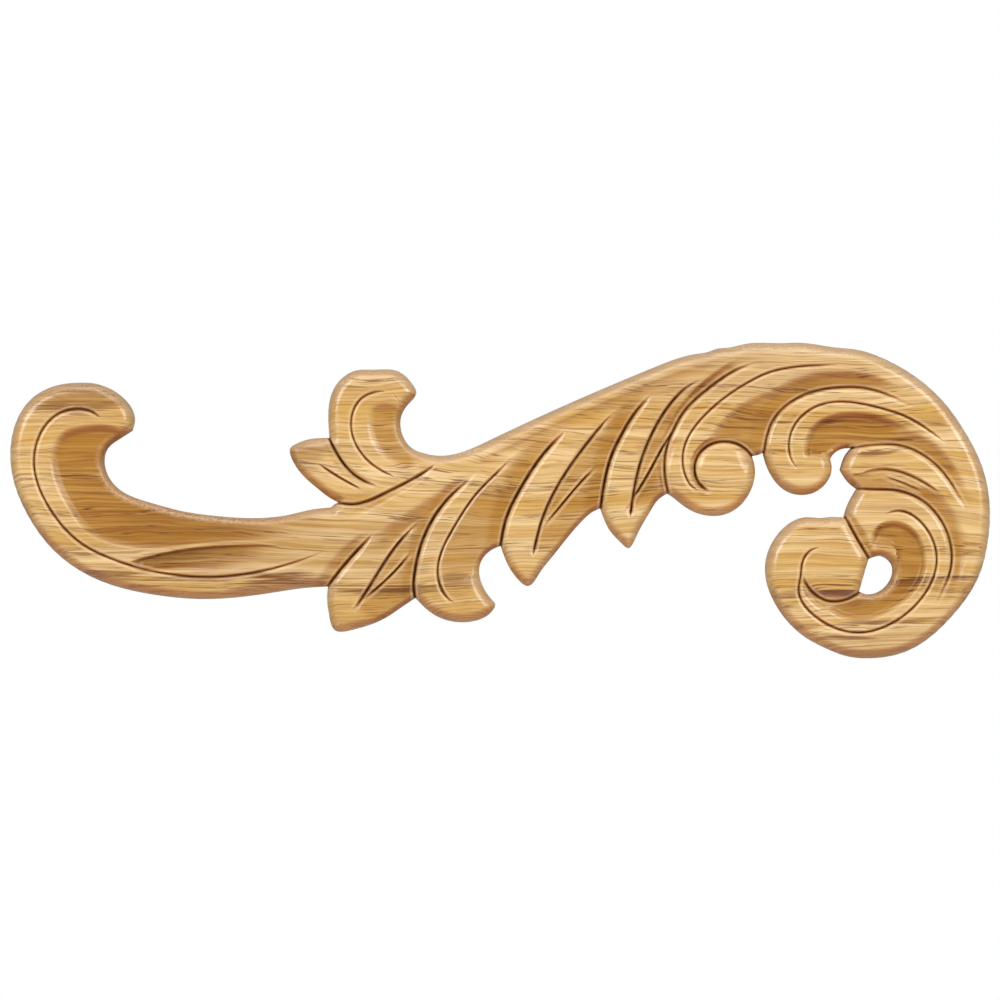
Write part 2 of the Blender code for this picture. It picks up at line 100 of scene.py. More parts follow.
# %% Outline of the board and its one hole
OUTLINE = [
    # ragged crotch between the stem and the spur leaf
    [(338.5, 502.5), (335, 504), (331, 507.5)],
    # upper edge of the stem, round the bay, to the point of the left hook
    [(331, 507.5), (312, 509.5), (290, 514.5), (210, 515.5), (180, 511), (150, 503), (113, 485),
     (103, 459), (107, 447.5), (117, 439.5), (131, 430.5)],
    # head of the left hook and the long lower sweep
    [(131, 430.5), (133.3, 422), (97, 384), (80, 382.7), (62, 384.3), (32, 398.5), (10.5, 456),
     (32, 522), (48, 544), (92, 577), (150, 594), (208, 599), (275, 592.3), (305, 588), (328, 586.5)],
    # first leaf, with its blunt point at the lower left
    [(328, 586.5), (327.2, 600), (329, 614), (335, 630.3), (352, 630), (388, 616.5), (402, 607),
     (415.5, 598)],
    # second leaf, a curl with a beak
    [(415.5, 598), (433, 614), (477, 620.3), (494, 608.5), (495.3, 604.5), (492.5, 601)],
    [(492.5, 601), (487, 594), (480.2, 564), (491, 550.3), (500.5, 546)],
    # third leaf, pointed
    [(500.5, 546), (509, 567), (515.5, 576.5), (528, 586), (540, 572.5), (550, 559.5), (584, 519),
     (592, 512.3), (600.5, 508.3)],
    # fourth leaf, pointed
    [(600.5, 508.3), (609.5, 529.5), (624, 545.5), (628.5, 548.3), (632, 545), (637, 535), (651, 510),
     (659, 499), (667.5, 493.5)],
    # the bud and the short bridge beside it
    [(667.5, 493.5), (673, 497), (683, 505), (706, 515.4), (731, 512), (754.5, 466), (751.7, 456)],
    [(751.7, 456), (757, 455.3), (763.5, 452.5)],
    # the hanging curl and the small bay behind it
    [(763.5, 452.5), (766.5, 463), (789, 492), (813, 493), (831.6, 468), (830, 459)],
    [(830, 459), (833, 454.5), (841, 449.3), (852, 448)],
    # the small pointed leaf over the volute
    [(852, 448), (847, 454), (841, 470)],
    [(841, 470), (850.5, 483.5), (857.5, 489)],
    # edge of the volute's leaf
    [(857.5, 489), (847.5, 508), (844.7, 517.5)],
    # the volute, the great curl and the long back of the scroll
    [(844.7, 517.5), (833, 517), (821, 518), (808, 517.3), (767.3, 558), (777, 605.5), (806, 637.5),
     (826, 648.5), (848, 656.5), (866, 658.3), (908, 650.5), (950, 618), (979, 575), (986.5, 548),
     (984, 473), (963, 429), (946, 405), (878, 356.3), (858, 350), (835, 347.5), (800, 342.8),
     (780, 343.2), (745, 344), (728, 347.7), (716, 349), (710, 351.3), (696, 354), (655, 367),
     (490, 440), (438, 455.7), (424, 453.3), (411, 447.5), (401, 415.5), (413, 398.5)],
    # head of the upper curl
    [(413, 398.5), (416, 392.5), (413, 385), (397, 371), (372, 369.7), (357, 370.3), (338, 382.5),
     (329.5, 438)],
    # spur leaf, pointing left
    [(329.5, 438), (306, 440), (297, 443.5), (290.5, 448), (292, 459), (320, 490.5), (330, 498),
     (338.5, 502.5)],
]

# The one hole: a round pocket closed by the volute's straight side
HOLE = [
    [(868.5, 559), (880, 556), (892.5, 564.5), (884, 589.5), (866, 594.3), (859, 591.5)],
    [(859, 591.5), (863.5, 575.5), (868.5, 559)],
]
print(sum(len(stroke) for stroke in OUTLINE), "knots in", len(OUTLINE), "strokes of the outline")

# %% [markdown]
# ## The cuts
#
# Three kinds of cut make the whole carving. A vein is a fine V groove. A step is the foot of a leaf
# that lies over its neighbour: a V with a broad round shoulder on the raised side, and a hollow
# floor on the other. A hollow is a shallow scoop of a wide gouge, with no groove.
# Each one is a small record with its own sizes, so that one function can carve them all.

# %% Every cut of the gouge, from its root to its tail
@dataclass
class Cut:
    """One cut of the gouge. Sizes are in millimetres, and shares are of the cut's own length.

    The groove lies on the line, with a rounded shoulder beside it. The floor lies on the side that
    isn't raised. It is level from start on, rises again towards reach, and never crosses the lines
    named in until. Start and reach are lists of distances, evenly spaced from the root to the tail.
    Ends and floor_ends are the shares over which groove and floor deepen from the root and die out
    at the tail.
    """

    line: list
    groove: float = 0.0
    shoulder: float = 0.0
    raised: str = "both"
    floor: float = 0.0
    start: tuple = (0.0,)
    reach: tuple = (60,)
    ends: tuple = (0.0, 0.2)
    floor_ends: tuple = (0.0, 0.35)
    until: tuple = ()


def vein(line, groove=1.2, shoulder=0.8, ends=(0.15, 0.2)):
    """A fine V groove with a small round shoulder on both sides."""
    return Cut(line, groove, shoulder, ends=ends)


def step(line, raised, groove=2.3, shoulder=2.0, ends=(0.0, 0.25), **floor):
    """The foot of a raised leaf: a round shoulder on its side, and a hollow floor on the other."""
    return Cut(line, groove, shoulder, raised, ends=ends, **floor)


def hollow(line, raised, floor, start, **more):
    """A hollow that falls away beside a line, with no groove on the line itself."""
    return Cut(line, raised=raised, floor=floor, start=start, **more)


# Right and left are as seen when walking along the line from its first point
CUTS = {
    "hook_vein": vein(
        [(103, 420), (96, 414), (61, 413.3), (35.3, 455), (51, 509), (85, 545.3), (108, 557),
         (230, 575.8), (295, 562.3), (340, 545.5)],
        groove=1.5, shoulder=1.1, ends=(0.03, 0.21)),
    "hook_hollow": hollow(
        [(133, 430), (118, 425), (100, 422.5), (78, 425), (62, 431), (52, 446), (68, 512), (90, 537),
         (118, 547), (160, 549.5), (198, 545), (340, 543)],
        "right", floor=1.6, start=(3.4, 3.6, 3.4, 1.8, 1.2, 2), floor_ends=(0.0, 0.32)),
    "stem_hollow": hollow(
        [(128, 561.5), (165, 552), (198, 546.8), (300, 544.5)],
        "left", floor=2.6, start=(1.0,), reach=(5, 9, 7), floor_ends=(0.1, 0.65)),
    "upper_curl_vein": vein(
        [(399, 479), (373, 465), (351.3, 424), (361, 399.5), (380, 392), (389, 392.5)],
        groove=1.3, shoulder=0.9, ends=(0.15, 0.15)),
    "upper_curl_beak": vein(
        [(391, 392.5), (396, 398), (401, 405)],
        groove=0.25, shoulder=1.0, ends=(0.4, 0.4)),
    "upper_curl_hollow": hollow(
        [(434, 465), (412, 472), (391, 466), (371.5, 446), (366, 420), (371, 406), (384, 401),
         (396, 403), (408, 410)],
        "left", floor=0.9, start=(3.0,), floor_ends=(0.2, 0.0)),
    "upper_curl_edge": step(
        [(329.3, 438), (350, 470.5), (371, 484), (382, 487.5)],
        "left", groove=2.2, shoulder=1.9, floor=0.4, reach=(4, 4, 3), ends=(0.0, 0.33)),
    "spur_vein": vein(
        [(316, 462), (338, 476.5), (364, 490.5)],
        groove=1.7, ends=(0.3, 0.25)),
    "stem_edge": step(
        [(338.5, 503), (352, 504.7), (382, 495), (418, 476.5), (439, 463)],
        "right", groove=1.9, shoulder=1.2, floor=0.4, reach=(3, 5, 3), ends=(0.0, 0.21)),
    "stem_flute_upper": hollow(
        [(345, 528), (378, 508), (410, 490), (442, 473)],
        "right", floor=1.5, start=(3.0,), floor_ends=(0.4, 0.35), until=("stem_edge",)),
    "stem_flute_lower": hollow(
        [(352, 549), (380, 527), (412, 505), (447, 482), (480, 460)],
        "left", floor=1.2, start=(4.0,), reach=(10,), floor_ends=(0.3, 0.3), until=("leaf_1_vein",
        "leaf_2_edge")),
    "back_cove": hollow(
        [(452, 466), (490, 452), (555, 421), (620, 393), (680, 369.5), (730, 358.5)],
        "left", floor=0.55, start=(2.0,), reach=(4, 6, 4), floor_ends=(0.15, 0.2)),
    "leaf_1_edge": step(
        [(328.5, 586), (347, 562.5), (376, 532)],
        "right", shoulder=2.2, floor=0.9, reach=(5, 5, 3), ends=(0.0, 0.36)),
    "leaf_1_vein": step(
        [(351, 614.5), (367, 590.5), (411, 529.5), (422, 520)],
        "left", groove=2.5, shoulder=1.4, floor=0.8, start=(0.6,), ends=(0.2, 0.27),
        floor_ends=(0.12, 0.35), until=("leaf_2_edge",)),
    "leaf_1_fork": vein(
        [(360, 602), (395, 571), (412.5, 550.5)],
        groove=2.2, ends=(0.3, 0.24)),
    "leaf_2_edge": step(
        [(415.3, 598), (414, 586), (415.3, 571), (424.5, 536.5), (454, 493), (478, 473.5)],
        "right", groove=2.5, shoulder=1.9, floor=1.1, reach=(7, 5, 3), ends=(0.0, 0.3)),
    "leaf_2_vein": step(
        [(458, 605), (448, 598), (438, 574), (454, 527.5), (477, 493.5), (506, 464.5), (520, 450.5)],
        "left", groove=1.9, shoulder=1.1, floor=0.9, start=(1.5,), ends=(0.12, 0.24),
        floor_ends=(0.3, 0.35), until=("leaf_3_edge",)),
    "leaf_3_edge": step(
        [(500.7, 546), (506, 520), (521, 488), (557, 439.5), (570, 428)],
        "right", groove=2.5, shoulder=1.9, floor=1.2, reach=(8, 9, 5)),
    "leaf_3_vein": step(
        [(532.5, 558), (541, 522.5), (590, 439.5), (603, 424), (616, 410.5)],
        "left", groove=2.4, shoulder=1.4, floor=0.9, start=(0.6,), ends=(0.08, 0.21),
        floor_ends=(0.12, 0.35), until=("leaf_4_edge",)),
    "leaf_3_fork": vein(
        [(540, 530), (560, 506.5), (585, 477.5), (597, 465.5)],
        groove=2.1, ends=(0.3, 0.21)),
    "leaf_4_edge": step(
        [(600.7, 508), (612.5, 453.5), (621, 436), (643, 403.5), (655, 392.5)],
        "right", groove=2.5, shoulder=1.9, floor=1.2, reach=(9, 8, 5)),
    "leaf_4_vein": step(
        [(629.8, 518), (638.5, 468), (654, 429), (677, 396), (690, 385.5), (703, 380)],
        "left", groove=2.4, shoulder=1.4, floor=0.9, start=(0.5,), ends=(0.05, 0.21),
        floor_ends=(0.14, 0.35), until=("bud_edge",)),
    "leaf_4_fork": step(
        [(631.5, 500), (650, 469.5), (659, 453), (673, 431)],
        "left", groove=2.2, shoulder=0.9, floor=1.0, reach=(4, 6, 3), ends=(0.15, 0.06)),
    "bud_edge": step(
        [(668, 493), (665.3, 479), (667, 446), (673.5, 430), (682, 414.5), (708, 389), (743, 367.3),
         (765, 362)],
        "right", groove=2.0, shoulder=1.9, floor=1.3, reach=(4, 3, 4), ends=(0.0, 0.24)),
    "bud_vein": vein(
        [(703, 492.5), (693, 488), (685.5, 477), (684, 446.5), (701, 419), (748, 382.5), (768, 373),
         (790, 368), (846, 365.5)],
        groove=1.4, shoulder=0.9, ends=(0.1, 0.21)),
    "bud_hollow": hollow(
        [(700, 468), (702, 450), (736, 404), (760, 392), (830, 377)],
        "left", floor=1.2, start=(3.5,), floor_ends=(0.06, 0.45), until=("hanging_curl_edge",
        "bud_ball")),
    "bud_ball": step(
        [(752, 457), (744, 448.5), (707, 446.5), (694.3, 468), (704, 488.7), (714, 493)],
        "left", groove=2.3, shoulder=3.6, floor=1.2, reach=(3, 2, 1.2), ends=(0.0, 0.13),
        floor_ends=(0.0, 0.22)),
    "hanging_curl_edge": step(
        [(763.7, 452.5), (772.5, 421), (817, 391), (838, 388), (860, 388.2), (922, 412)],
        "right", groove=2.0, shoulder=1.9, floor=1.4, reach=(9, 6, 4), ends=(0.0, 0.3)),
    "hanging_curl_vein": vein(
        [(799, 472), (791, 460), (791.5, 430), (815, 407), (880, 408.5), (903, 416), (949, 447)],
        groove=1.4, shoulder=0.9, ends=(0.12, 0.18)),
    "hanging_curl_hollow": hollow(
        [(815, 477), (804.5, 464), (801.5, 447), (811, 424), (836, 412), (880, 414), (905, 424),
         (936, 444)],
        "left", floor=1.6, start=(3.0,), floor_ends=(0.14, 0.35), until=("tongue_edge",)),
    "tongue_edge": step(
        [(852, 448), (902, 446.5), (937, 467), (967, 513)],
        "right", groove=1.8, shoulder=2.0, floor=1.3, reach=(6, 6, 3)),
    "tongue_vein": step(
        [(858, 473.5), (881, 469.3), (927, 485), (941, 495)],
        "left", groove=1.5, shoulder=1.0, floor=0.9, reach=(3, 4.5, 3), ends=(0.3, 0.21)),
    "tongue_fork": vein(
        [(878, 475), (893, 479.5), (925, 493)],
        groove=1.4, ends=(0.35, 0.24)),
    "volute_edge": step(
        [(857.7, 489), (875, 489.7), (893, 490.3), (929, 507), (950.5, 562), (930, 611)],
        "right", groove=1.9, shoulder=1.9, floor=1.2, reach=(5, 6, 4), ends=(0.0, 0.24)),
    "volute_vein": vein(
        [(880, 516), (899, 511), (923, 525.5), (935.7, 559), (864, 632), (819, 619.5), (798, 590),
         (800, 575), (801.5, 563), (808, 552), (822, 546.5)],
        groove=1.5, shoulder=1.0, ends=(0.08, 0.06)),
    "volute_hollow": hollow(
        [(867, 556), (867.5, 541), (875, 525), (890, 519.5), (908, 523.5), (926, 548), (925, 576),
         (896, 610), (862, 623), (834, 616.5), (812, 600)],
        "left", floor=1.9, start=(2.8,), reach=(22, 22, 22, 12, 5), floor_ends=(0.1, 0.12)),
    "eye_edge": step(
        [(859, 592), (850, 597.5), (825, 600), (804.5, 582), (800.5, 573)],
        "right", groove=2.0, shoulder=2.8, floor=0.8, reach=(3, 4, 1.5), ends=(0.0, 0.18)),
    "volute_side": step(
        [(844.7, 517.5), (859, 543.5), (868.5, 559)],
        "right", groove=2.2, shoulder=3.2, floor=1.1, reach=(3, 4, 3), ends=(0.0, 0.0),
        floor_ends=(0.0, 0.0)),
}
print(len(CUTS), "cuts:", sum(1 for cut in CUTS.values() if cut.groove), "with a groove")

# %% [markdown]
# ## Smooth lines
#
# A steady hand draws the line with the least bending through its knots, which is what a natural
# cubic spline does. Blender's own Bezier curves would need two handles for each knot, so the spline
# is solved here, and read off at even steps.

# %% Splines through the knots
# Distances are measured to lines read off at this step, in millimetres
DRAWN_STEP = 0.25


def smooth_line(knots, spacing):
    """Points about this many millimetres apart, on the natural cubic spline through the knots."""
    knots = (np.array(knots, float) - MIDDLE) * (UNIT, -UNIT)
    u = np.concatenate([[0.0], np.cumsum(np.hypot(*np.diff(knots, axis=0).T))])
    gap = np.diff(u)[:, None]
    slope = np.diff(knots, axis=0) / gap
    system = np.eye(len(u))
    bend = np.zeros_like(knots)
    for i in range(1, len(u) - 1):
        system[i, i - 1 : i + 2] = gap[i - 1, 0], 2 * (gap[i - 1, 0] + gap[i, 0]), gap[i, 0]
        bend[i] = 6 * (slope[i] - slope[i - 1])
    bend = np.linalg.solve(system, bend)
    at = np.linspace(0, u[-1], max(2, round(u[-1] / spacing) + 1))
    i = np.clip(np.searchsorted(u, at, side="right") - 1, 0, len(u) - 2)
    b = (at - u[i])[:, None] / gap[i]
    a = 1 - b
    curve = ((a**3 - a) * bend[i] + (b**3 - b) * bend[i + 1]) * gap[i] ** 2 / 6
    return a * knots[i] + b * knots[i + 1] + curve


def closed_line(strokes, spacing):
    """The strokes of a closed outline as one ring of points, in which the first isn't repeated."""
    return np.concatenate([smooth_line(stroke, spacing)[:-1] for stroke in strokes])


EDGE = np.concatenate([closed_line(OUTLINE, DRAWN_STEP), closed_line(HOLE, DRAWN_STEP)])
LINES = {name: smooth_line(cut.line, DRAWN_STEP) for name, cut in CUTS.items()}
print("edge", len(EDGE), "points,", "cuts", sum(len(line) for line in LINES.values()), "points")

# %% [markdown]
# ## How deep the gouge goes
#
# The carving is a height over the flat board: no part of it hangs over another. So each point of the
# plane only needs its distance from every cut and the side it lies on. Where two cuts meet, the
# deeper one has to win without leaving a ledge, so the depths are joined by a high power mean.
# Four numbers are kept for the finish: how much glaze and painted shade lie in a groove, how strong
# the painted highlight is on the crest beside it, how deep the point lies in a hollow, and how far it
# has turned over the rounded edge.

# %% Distances and depths
# How sharply cuts that meet flow into one another: a higher power keeps each one crisper
BLEND_POWER = 4.0
# Width of the steep flank of a groove on its low side, in millimetres
FLANK_WIDTH = 0.8
# Share of a floor's reach over which it rises to the surface again
RISING_SHARE = 0.6
# Glaze and painted shade beside a groove 1 mm deep, as a half width in millimetres, the power of the
# depth with which that grows, and the trace that is left where a groove dies out
GLAZE_AND_SHADE_WIDTH = 0.19
GLAZE_AND_SHADE_GROWTH = 0.7
GLAZE_AND_SHADE_TRACE = 0.01
# The painted highlight on the crest beside a groove: how far off it lies and how wide it is, in
# millimetres
HIGHLIGHT_AT = 0.85
HIGHLIGHT_WIDTH = 0.28


def tree_of(points):
    """A search tree of points on the plane."""
    tree = KDTree(len(points))
    for i, (x, z) in enumerate(points):
        tree.insert((x, z, 0.0), i)
    tree.balance()
    return tree


def nearest(tree, points):
    """The index of the nearest point in the tree, and how far it is, for each point."""
    found = [tree.find((x, z, 0.0)) for x, z in points]
    return np.array([f[1] for f in found], int), np.array([f[2] for f in found])


def measure(line, points):
    """How far each point lies from the line, at which share of its length, and True on its right."""
    index, _ = nearest(tree_of(line), points)
    travelled = np.concatenate([[0.0], np.cumsum(np.hypot(*np.diff(line, axis=0).T))])
    best = np.full(len(points), np.inf)
    share = np.zeros(len(points))
    right = np.zeros(len(points), bool)
    for first in (index - 1, index):
        first = np.clip(first, 0, len(line) - 2)
        start, run = line[first], line[first + 1] - line[first]
        offset = points - start
        t = np.clip((offset * run).sum(1) / (run * run).sum(1), 0, 1)
        distance = np.hypot(*(offset - run * t[:, None]).T)
        closer = distance < best
        best[closer] = distance[closer]
        share[closer] = ((travelled[first] + t * np.hypot(*run.T)) / travelled[-1])[closer]
        right[closer] = (offset[:, 0] * run[:, 1] - offset[:, 1] * run[:, 0] > 0)[closer]
    return best, share, right


def ease(x):
    """A smooth rise from 0 to 1 as x goes from 0 to 1."""
    x = np.clip(x, 0, 1)
    return x * x * (3 - 2 * x)


def fade(share, ends):
    """How much of its full depth a cut has along its length, from its root to its tail."""
    root = ease(share / ends[0]) if ends[0] else 1.0
    tail = ease((1 - share) / ends[1]) if ends[1] else 1.0
    return root * tail


def round_drop(distance, width):
    """A quarter ellipse: 1 and steep at the line, and 0 and level from the width on."""
    inside = np.clip(1 - distance / width, 0, 1)
    return 1 - np.sqrt(1 - inside**2)


def along(share, values):
    """A size given at even steps from root to tail, at these shares of the length."""
    return np.interp(share, np.linspace(0, 1, len(values)), values)


def cut_depth(cut, distance, share, right):
    """How deep the groove and the floor of this cut go at points with these measures from its line."""
    low_side = np.zeros(len(right), bool) if cut.raised == "both" else right != (cut.raised == "right")
    strength = fade(share, cut.ends)
    groove = np.zeros(len(right))
    if cut.groove:
        shoulder = round_drop(distance, cut.shoulder)
        flank = np.clip(1 - distance / FLANK_WIDTH, 0, 1)
        low = max(cut.groove - cut.floor, 0) * flank
        groove = strength * np.where(low_side, low, cut.groove * shoulder)
    level = ease(distance / along(share, cut.start)) if any(cut.start) else 1.0
    rise = ease((1 - distance / along(share, cut.reach)) / RISING_SHARE)
    return groove, low_side * cut.floor * fade(share, cut.floor_ends) * level * rise


def same_side(points, name, of_line):
    """1 on the side of the named cut that the middle of a line lies on, falling to 0 at that cut."""
    distance, _, right = measure(LINES[name], np.vstack([points, of_line[len(of_line) // 2]]))
    return (right[:-1] == right[-1]) * ease(distance[:-1] / (FLANK_WIDTH / 2))


def glaze_shade_and_highlight(cut, distance, share):
    """Glaze and painted shade near this cut's groove, and the painted highlight on the crest beside it.
    """
    strength = cut.groove * fade(share, cut.ends) + GLAZE_AND_SHADE_TRACE
    glaze_and_shade = strength * np.exp(-((distance / (GLAZE_AND_SHADE_WIDTH * strength**GLAZE_AND_SHADE_GROWTH)) ** 2))
    painted_highlight = np.minimum(strength, 1.0) * np.exp(-(((distance - HIGHLIGHT_AT) / HIGHLIGHT_WIDTH) ** 2))
    return glaze_and_shade, painted_highlight


def carve(points):
    """Depth under the top of the board at each point, and the four numbers that the finish reads."""
    _, to_edge = nearest(tree_of(EDGE), points)
    rim = round_drop(to_edge, EDGE_WIDTH)
    total = (EDGE_DROP * rim) ** BLEND_POWER
    glazed_and_shaded, painted_highlight, hollow = np.zeros((3, len(points)))
    for name, cut in CUTS.items():
        line = LINES[name]
        margin = max(cut.reach) if cut.floor else cut.shoulder
        low, high = line.min(0) - margin, line.max(0) + margin
        near = np.flatnonzero(((points > low) & (points < high)).all(1))
        distance, share, right = measure(line, points[near])
        groove, floor = cut_depth(cut, distance, share, right)
        for fence in cut.until:
            floor *= same_side(points[near], fence, line)
        total[near] += (groove + floor) ** BLEND_POWER
        hollow[near] += (floor * ease(distance / GLAZE_AND_SHADE_WIDTH)) ** BLEND_POWER
        glaze_and_shade, crest_highlight = glaze_shade_and_highlight(cut, distance, share)
        glazed_and_shaded[near] = np.maximum(glazed_and_shaded[near], glaze_and_shade)
        painted_highlight[near] = np.maximum(painted_highlight[near], crest_highlight)
    return total ** (1 / BLEND_POWER), glazed_and_shaded, painted_highlight, hollow ** (1 / BLEND_POWER), rim


# %% [markdown]
# ## A mesh that follows the cuts
#
# A plain grid would turn every groove into a row of teeth. The points are laid out on the plane
# first: close rows beside the edge and beside every cut, where the surface turns quickly, and an
# even triangular fill in between. A constrained Delaunay triangulation then joins them, and keeps
# the outline and the bottom of each groove as edges.

# %% Points on the plane, and their triangles
# Spacing along the outline, along the cuts and in the fill, in millimetres
OUTLINE_STEP = 0.7
CUT_STEP = 0.7
FILL_STEP = 0.6
# Rows of points beside the edge, as shares of its width, and beside each cut, in millimetres. A row
# loses the points that lie closer than this share of its own distance to another line
EDGE_ROWS = (0.04, 0.12, 0.25, 0.42, 0.62, 0.85, 1.1)
CUT_ROWS = (0.12, 0.3, 0.55, 0.85, 1.15, 1.45, 1.75, 2.1)
ROW_SLACK = 0.93
# Room that the fill keeps from the other points, as a share of its spacing
FILL_CLEARANCE = 0.55
# Points nearer to each other than this many millimetres are one
WELD = 1e-4


def beside(line, distance, closed=False):
    """The line's points moved sideways by this distance, to the right when it is positive."""
    run = np.roll(line, -1, 0) - np.roll(line, 1, 0) if closed else np.gradient(line, axis=0)
    run /= np.hypot(*run.T)[:, None]
    return line + distance * np.stack([run[:, 1], -run[:, 0]], 1)


def row_points(rings, lines):
    """Rows beside the rings and the cuts, without the points that another line has come closer to."""
    tree = tree_of(np.concatenate([EDGE, *LINES.values()]))
    rows = [(beside(ring, -share * EDGE_WIDTH, closed=True), share * EDGE_WIDTH)
            for ring in rings for share in EDGE_ROWS]
    rows += [(beside(line, side * distance), distance)
             for line in lines for distance in CUT_ROWS for side in (-1, 1)]
    kept = []
    for row, distance in rows:
        _, found = nearest(tree, row)
        kept.append(row[found > ROW_SLACK * distance])
    return np.concatenate(kept)


def fill_points(taken):
    """An even triangular grid over the board, clear of the points that are already there."""
    low, high = EDGE.min(0), EDGE.max(0)
    rise = FILL_STEP * math.sqrt(3) / 2
    across, up = np.meshgrid(np.arange(low[0], high[0], FILL_STEP), np.arange(low[1], high[1], rise))
    across[::2] += FILL_STEP / 2
    grid = np.stack([across.ravel(), up.ravel()], 1)
    _, found = nearest(tree_of(taken), grid)
    return grid[found > FILL_CLEARANCE * FILL_STEP]


def within(ring, points):
    """True for the points inside a closed ring."""
    inside = np.zeros(len(points), bool)
    for (x0, z0), (x1, z1) in zip(ring, np.roll(ring, -1, 0)):
        crosses = (z0 > points[:, 1]) != (z1 > points[:, 1])
        if crosses.any():
            x = x0 + (points[crosses, 1] - z0) / (z1 - z0) * (x1 - x0)
            inside[crosses] ^= points[crosses, 0] < x
    return inside


def plan_mesh():
    """The pattern as points and triangles on the plane."""
    rings = [closed_line(OUTLINE, OUTLINE_STEP), closed_line(HOLE, OUTLINE_STEP)]
    lines = [smooth_line(cut.line, CUT_STEP) for cut in CUTS.values()]
    edges, points, count = [], [], 0
    for ring in rings:
        edges += [(count + i, count + (i + 1) % len(ring)) for i in range(len(ring))]
        points.append(ring)
        count += len(ring)
    for line in lines:
        inner = line[1:-1]
        edges += [(count + i, count + i + 1) for i in range(len(inner) - 1)]
        points.append(inner)
        count += len(inner)
    rows = row_points(rings, lines)
    points += [rows, fill_points(np.concatenate([rows, *points]))]
    made = delaunay_2d_cdt([Vector(p) for p in np.concatenate(points)], edges, [], 1, WELD)
    flat = np.array([(p.x, p.y) for p in made[0]])
    faces = np.array(made[2])
    return flat, faces[~within(rings[1], flat[faces].mean(1))]


flat, faces = plan_mesh()
flat = np.clip(flat, cad_low, cad_high)
print(len(flat), "points,", len(faces), "triangles on the carved face")

# %% [markdown]
# ## Carving the board
#
# The triangles are lifted to the top of the board, extruded to its back, and the front is then sunk
# by its depth. The back keeps only a few flat facets, and no glaze, painted shade or painted
# highlight. Everything ends as one closed shell, with the four numbers of the finish stored on its
# points.

# %% The carved shell
FINISH = ("groove", "painted_highlight", "hollow", "rim")
SHARP_ANGLE = 42


def carved_shell(name):
    """The flat pattern, extruded from front to back, with its front sunk to the carved depth."""
    depth, *finish = carve(flat)
    work = bmesh.new()
    layers = [work.verts.layers.float.new(word) for word in FINISH]
    front = [work.verts.new((x * MM, -THICKNESS * MM, z * MM)) for x, z in flat]
    for vert, *numbers in zip(front, *finish):
        for layer, number in zip(layers, numbers):
            vert[layer] = number
    for a, b, c in faces:
        work.faces.new((front[a], front[b], front[c]))
    loose = [v for v in work.verts if not v.link_faces]
    bmesh.ops.delete(work, geom=loose, context="VERTS")
    boundary = [e for e in work.edges if e.is_boundary]
    wall = bmesh.ops.extrude_edge_only(work, edges=boundary)["geom"]
    back = {v for v in wall if isinstance(v, bmesh.types.BMVert)}
    for vert in back:
        vert.co.y = 0.0
        for layer in layers:
            vert[layer] = 0.0
    for vert, sunk in zip(front, depth):
        if vert.is_valid:
            vert.co.y += float(sunk) * MM
    back_rings = [e for e in wall if isinstance(e, bmesh.types.BMEdge) and back.issuperset(e.verts)]
    bmesh.ops.triangle_fill(work, edges=back_rings, use_beauty=True)
    bmesh.ops.recalc_face_normals(work, faces=work.faces[:])
    mesh = bpy.data.meshes.new(name)
    work.to_mesh(mesh)
    work.free()
    mesh.shade_smooth()
    mesh.set_sharp_from_angle(angle=math.radians(SHARP_ANGLE))
    shell = bpy.data.objects.new(name, mesh)
    bpy.context.scene.collection.objects.link(shell)
    return shell


scroll = carved_shell("carved_oak_scroll")
print(scroll.name, len(scroll.data.vertices), "vertices,",
      sum(len(p.vertices) - 2 for p in scroll.data.polygons), "triangles")

# %% [markdown]
# ## Oak under a satin varnish
#
# Oak is ring porous. Cut along the grain, its pores show as fine dark threads up to a few tenths of a
# millimetre wide and a centimetre or two long, crowded where spring wood comes to the surface. All
# of it runs along X. An image of oak would smear over the steep walls, so the pattern is made of
# noise in the solid wood, and a hollow shows the layers that lie under it. The board has been toned
# with a thin brown glaze and wiped: it stays dark in the grooves and warm in the hollows, and painted
# shade deepens both. A painted highlight lies on the crest beside each groove, dust and painted sheen
# pale the rims where they face up, and painted shade browns what faces down. A satin varnish goes
# over the front, and gives broad soft highlights on the rounded edges. The sawn sides and the back
# have none, and stay dull.

# %% Helpers for materials
# Nodes that are used often. A Map Range node's inputs are 0 for the value, 1 and 2 for the span over
# which it is read, and 3 and 4 for what that span becomes, which is 0 to 1 if they aren't given
MATH = "ShaderNodeMath"
VECTOR = "ShaderNodeVectorMath"
RANGE = "ShaderNodeMapRange"
EASED = {"interpolation_type": "SMOOTHSTEP"}


def linear(code):
    """An sRGB hex colour as linear red, green, blue and alpha."""
    parts = [int(code[i : i + 2], 16) / 255 for i in (1, 3, 5)]
    return [c / 12.92 if c <= 0.04045 else ((c + 0.055) / 1.055) ** 2.4 for c in parts] + [1.0]


def add(tree, kind, inputs=None, **settings):
    """Adds a node. An input takes a value, another node's output, or a node for its first output."""
    node = tree.nodes.new(kind)
    for name, value in settings.items():
        setattr(node, name, value)
    for key, value in (inputs or {}).items():
        if isinstance(value, bpy.types.Node):
            value = next(s for s in value.outputs if s.enabled)
        if isinstance(value, bpy.types.NodeSocket):
            tree.links.new(value, node.inputs[key])
        else:
            node.inputs[key].default_value = value
    return node


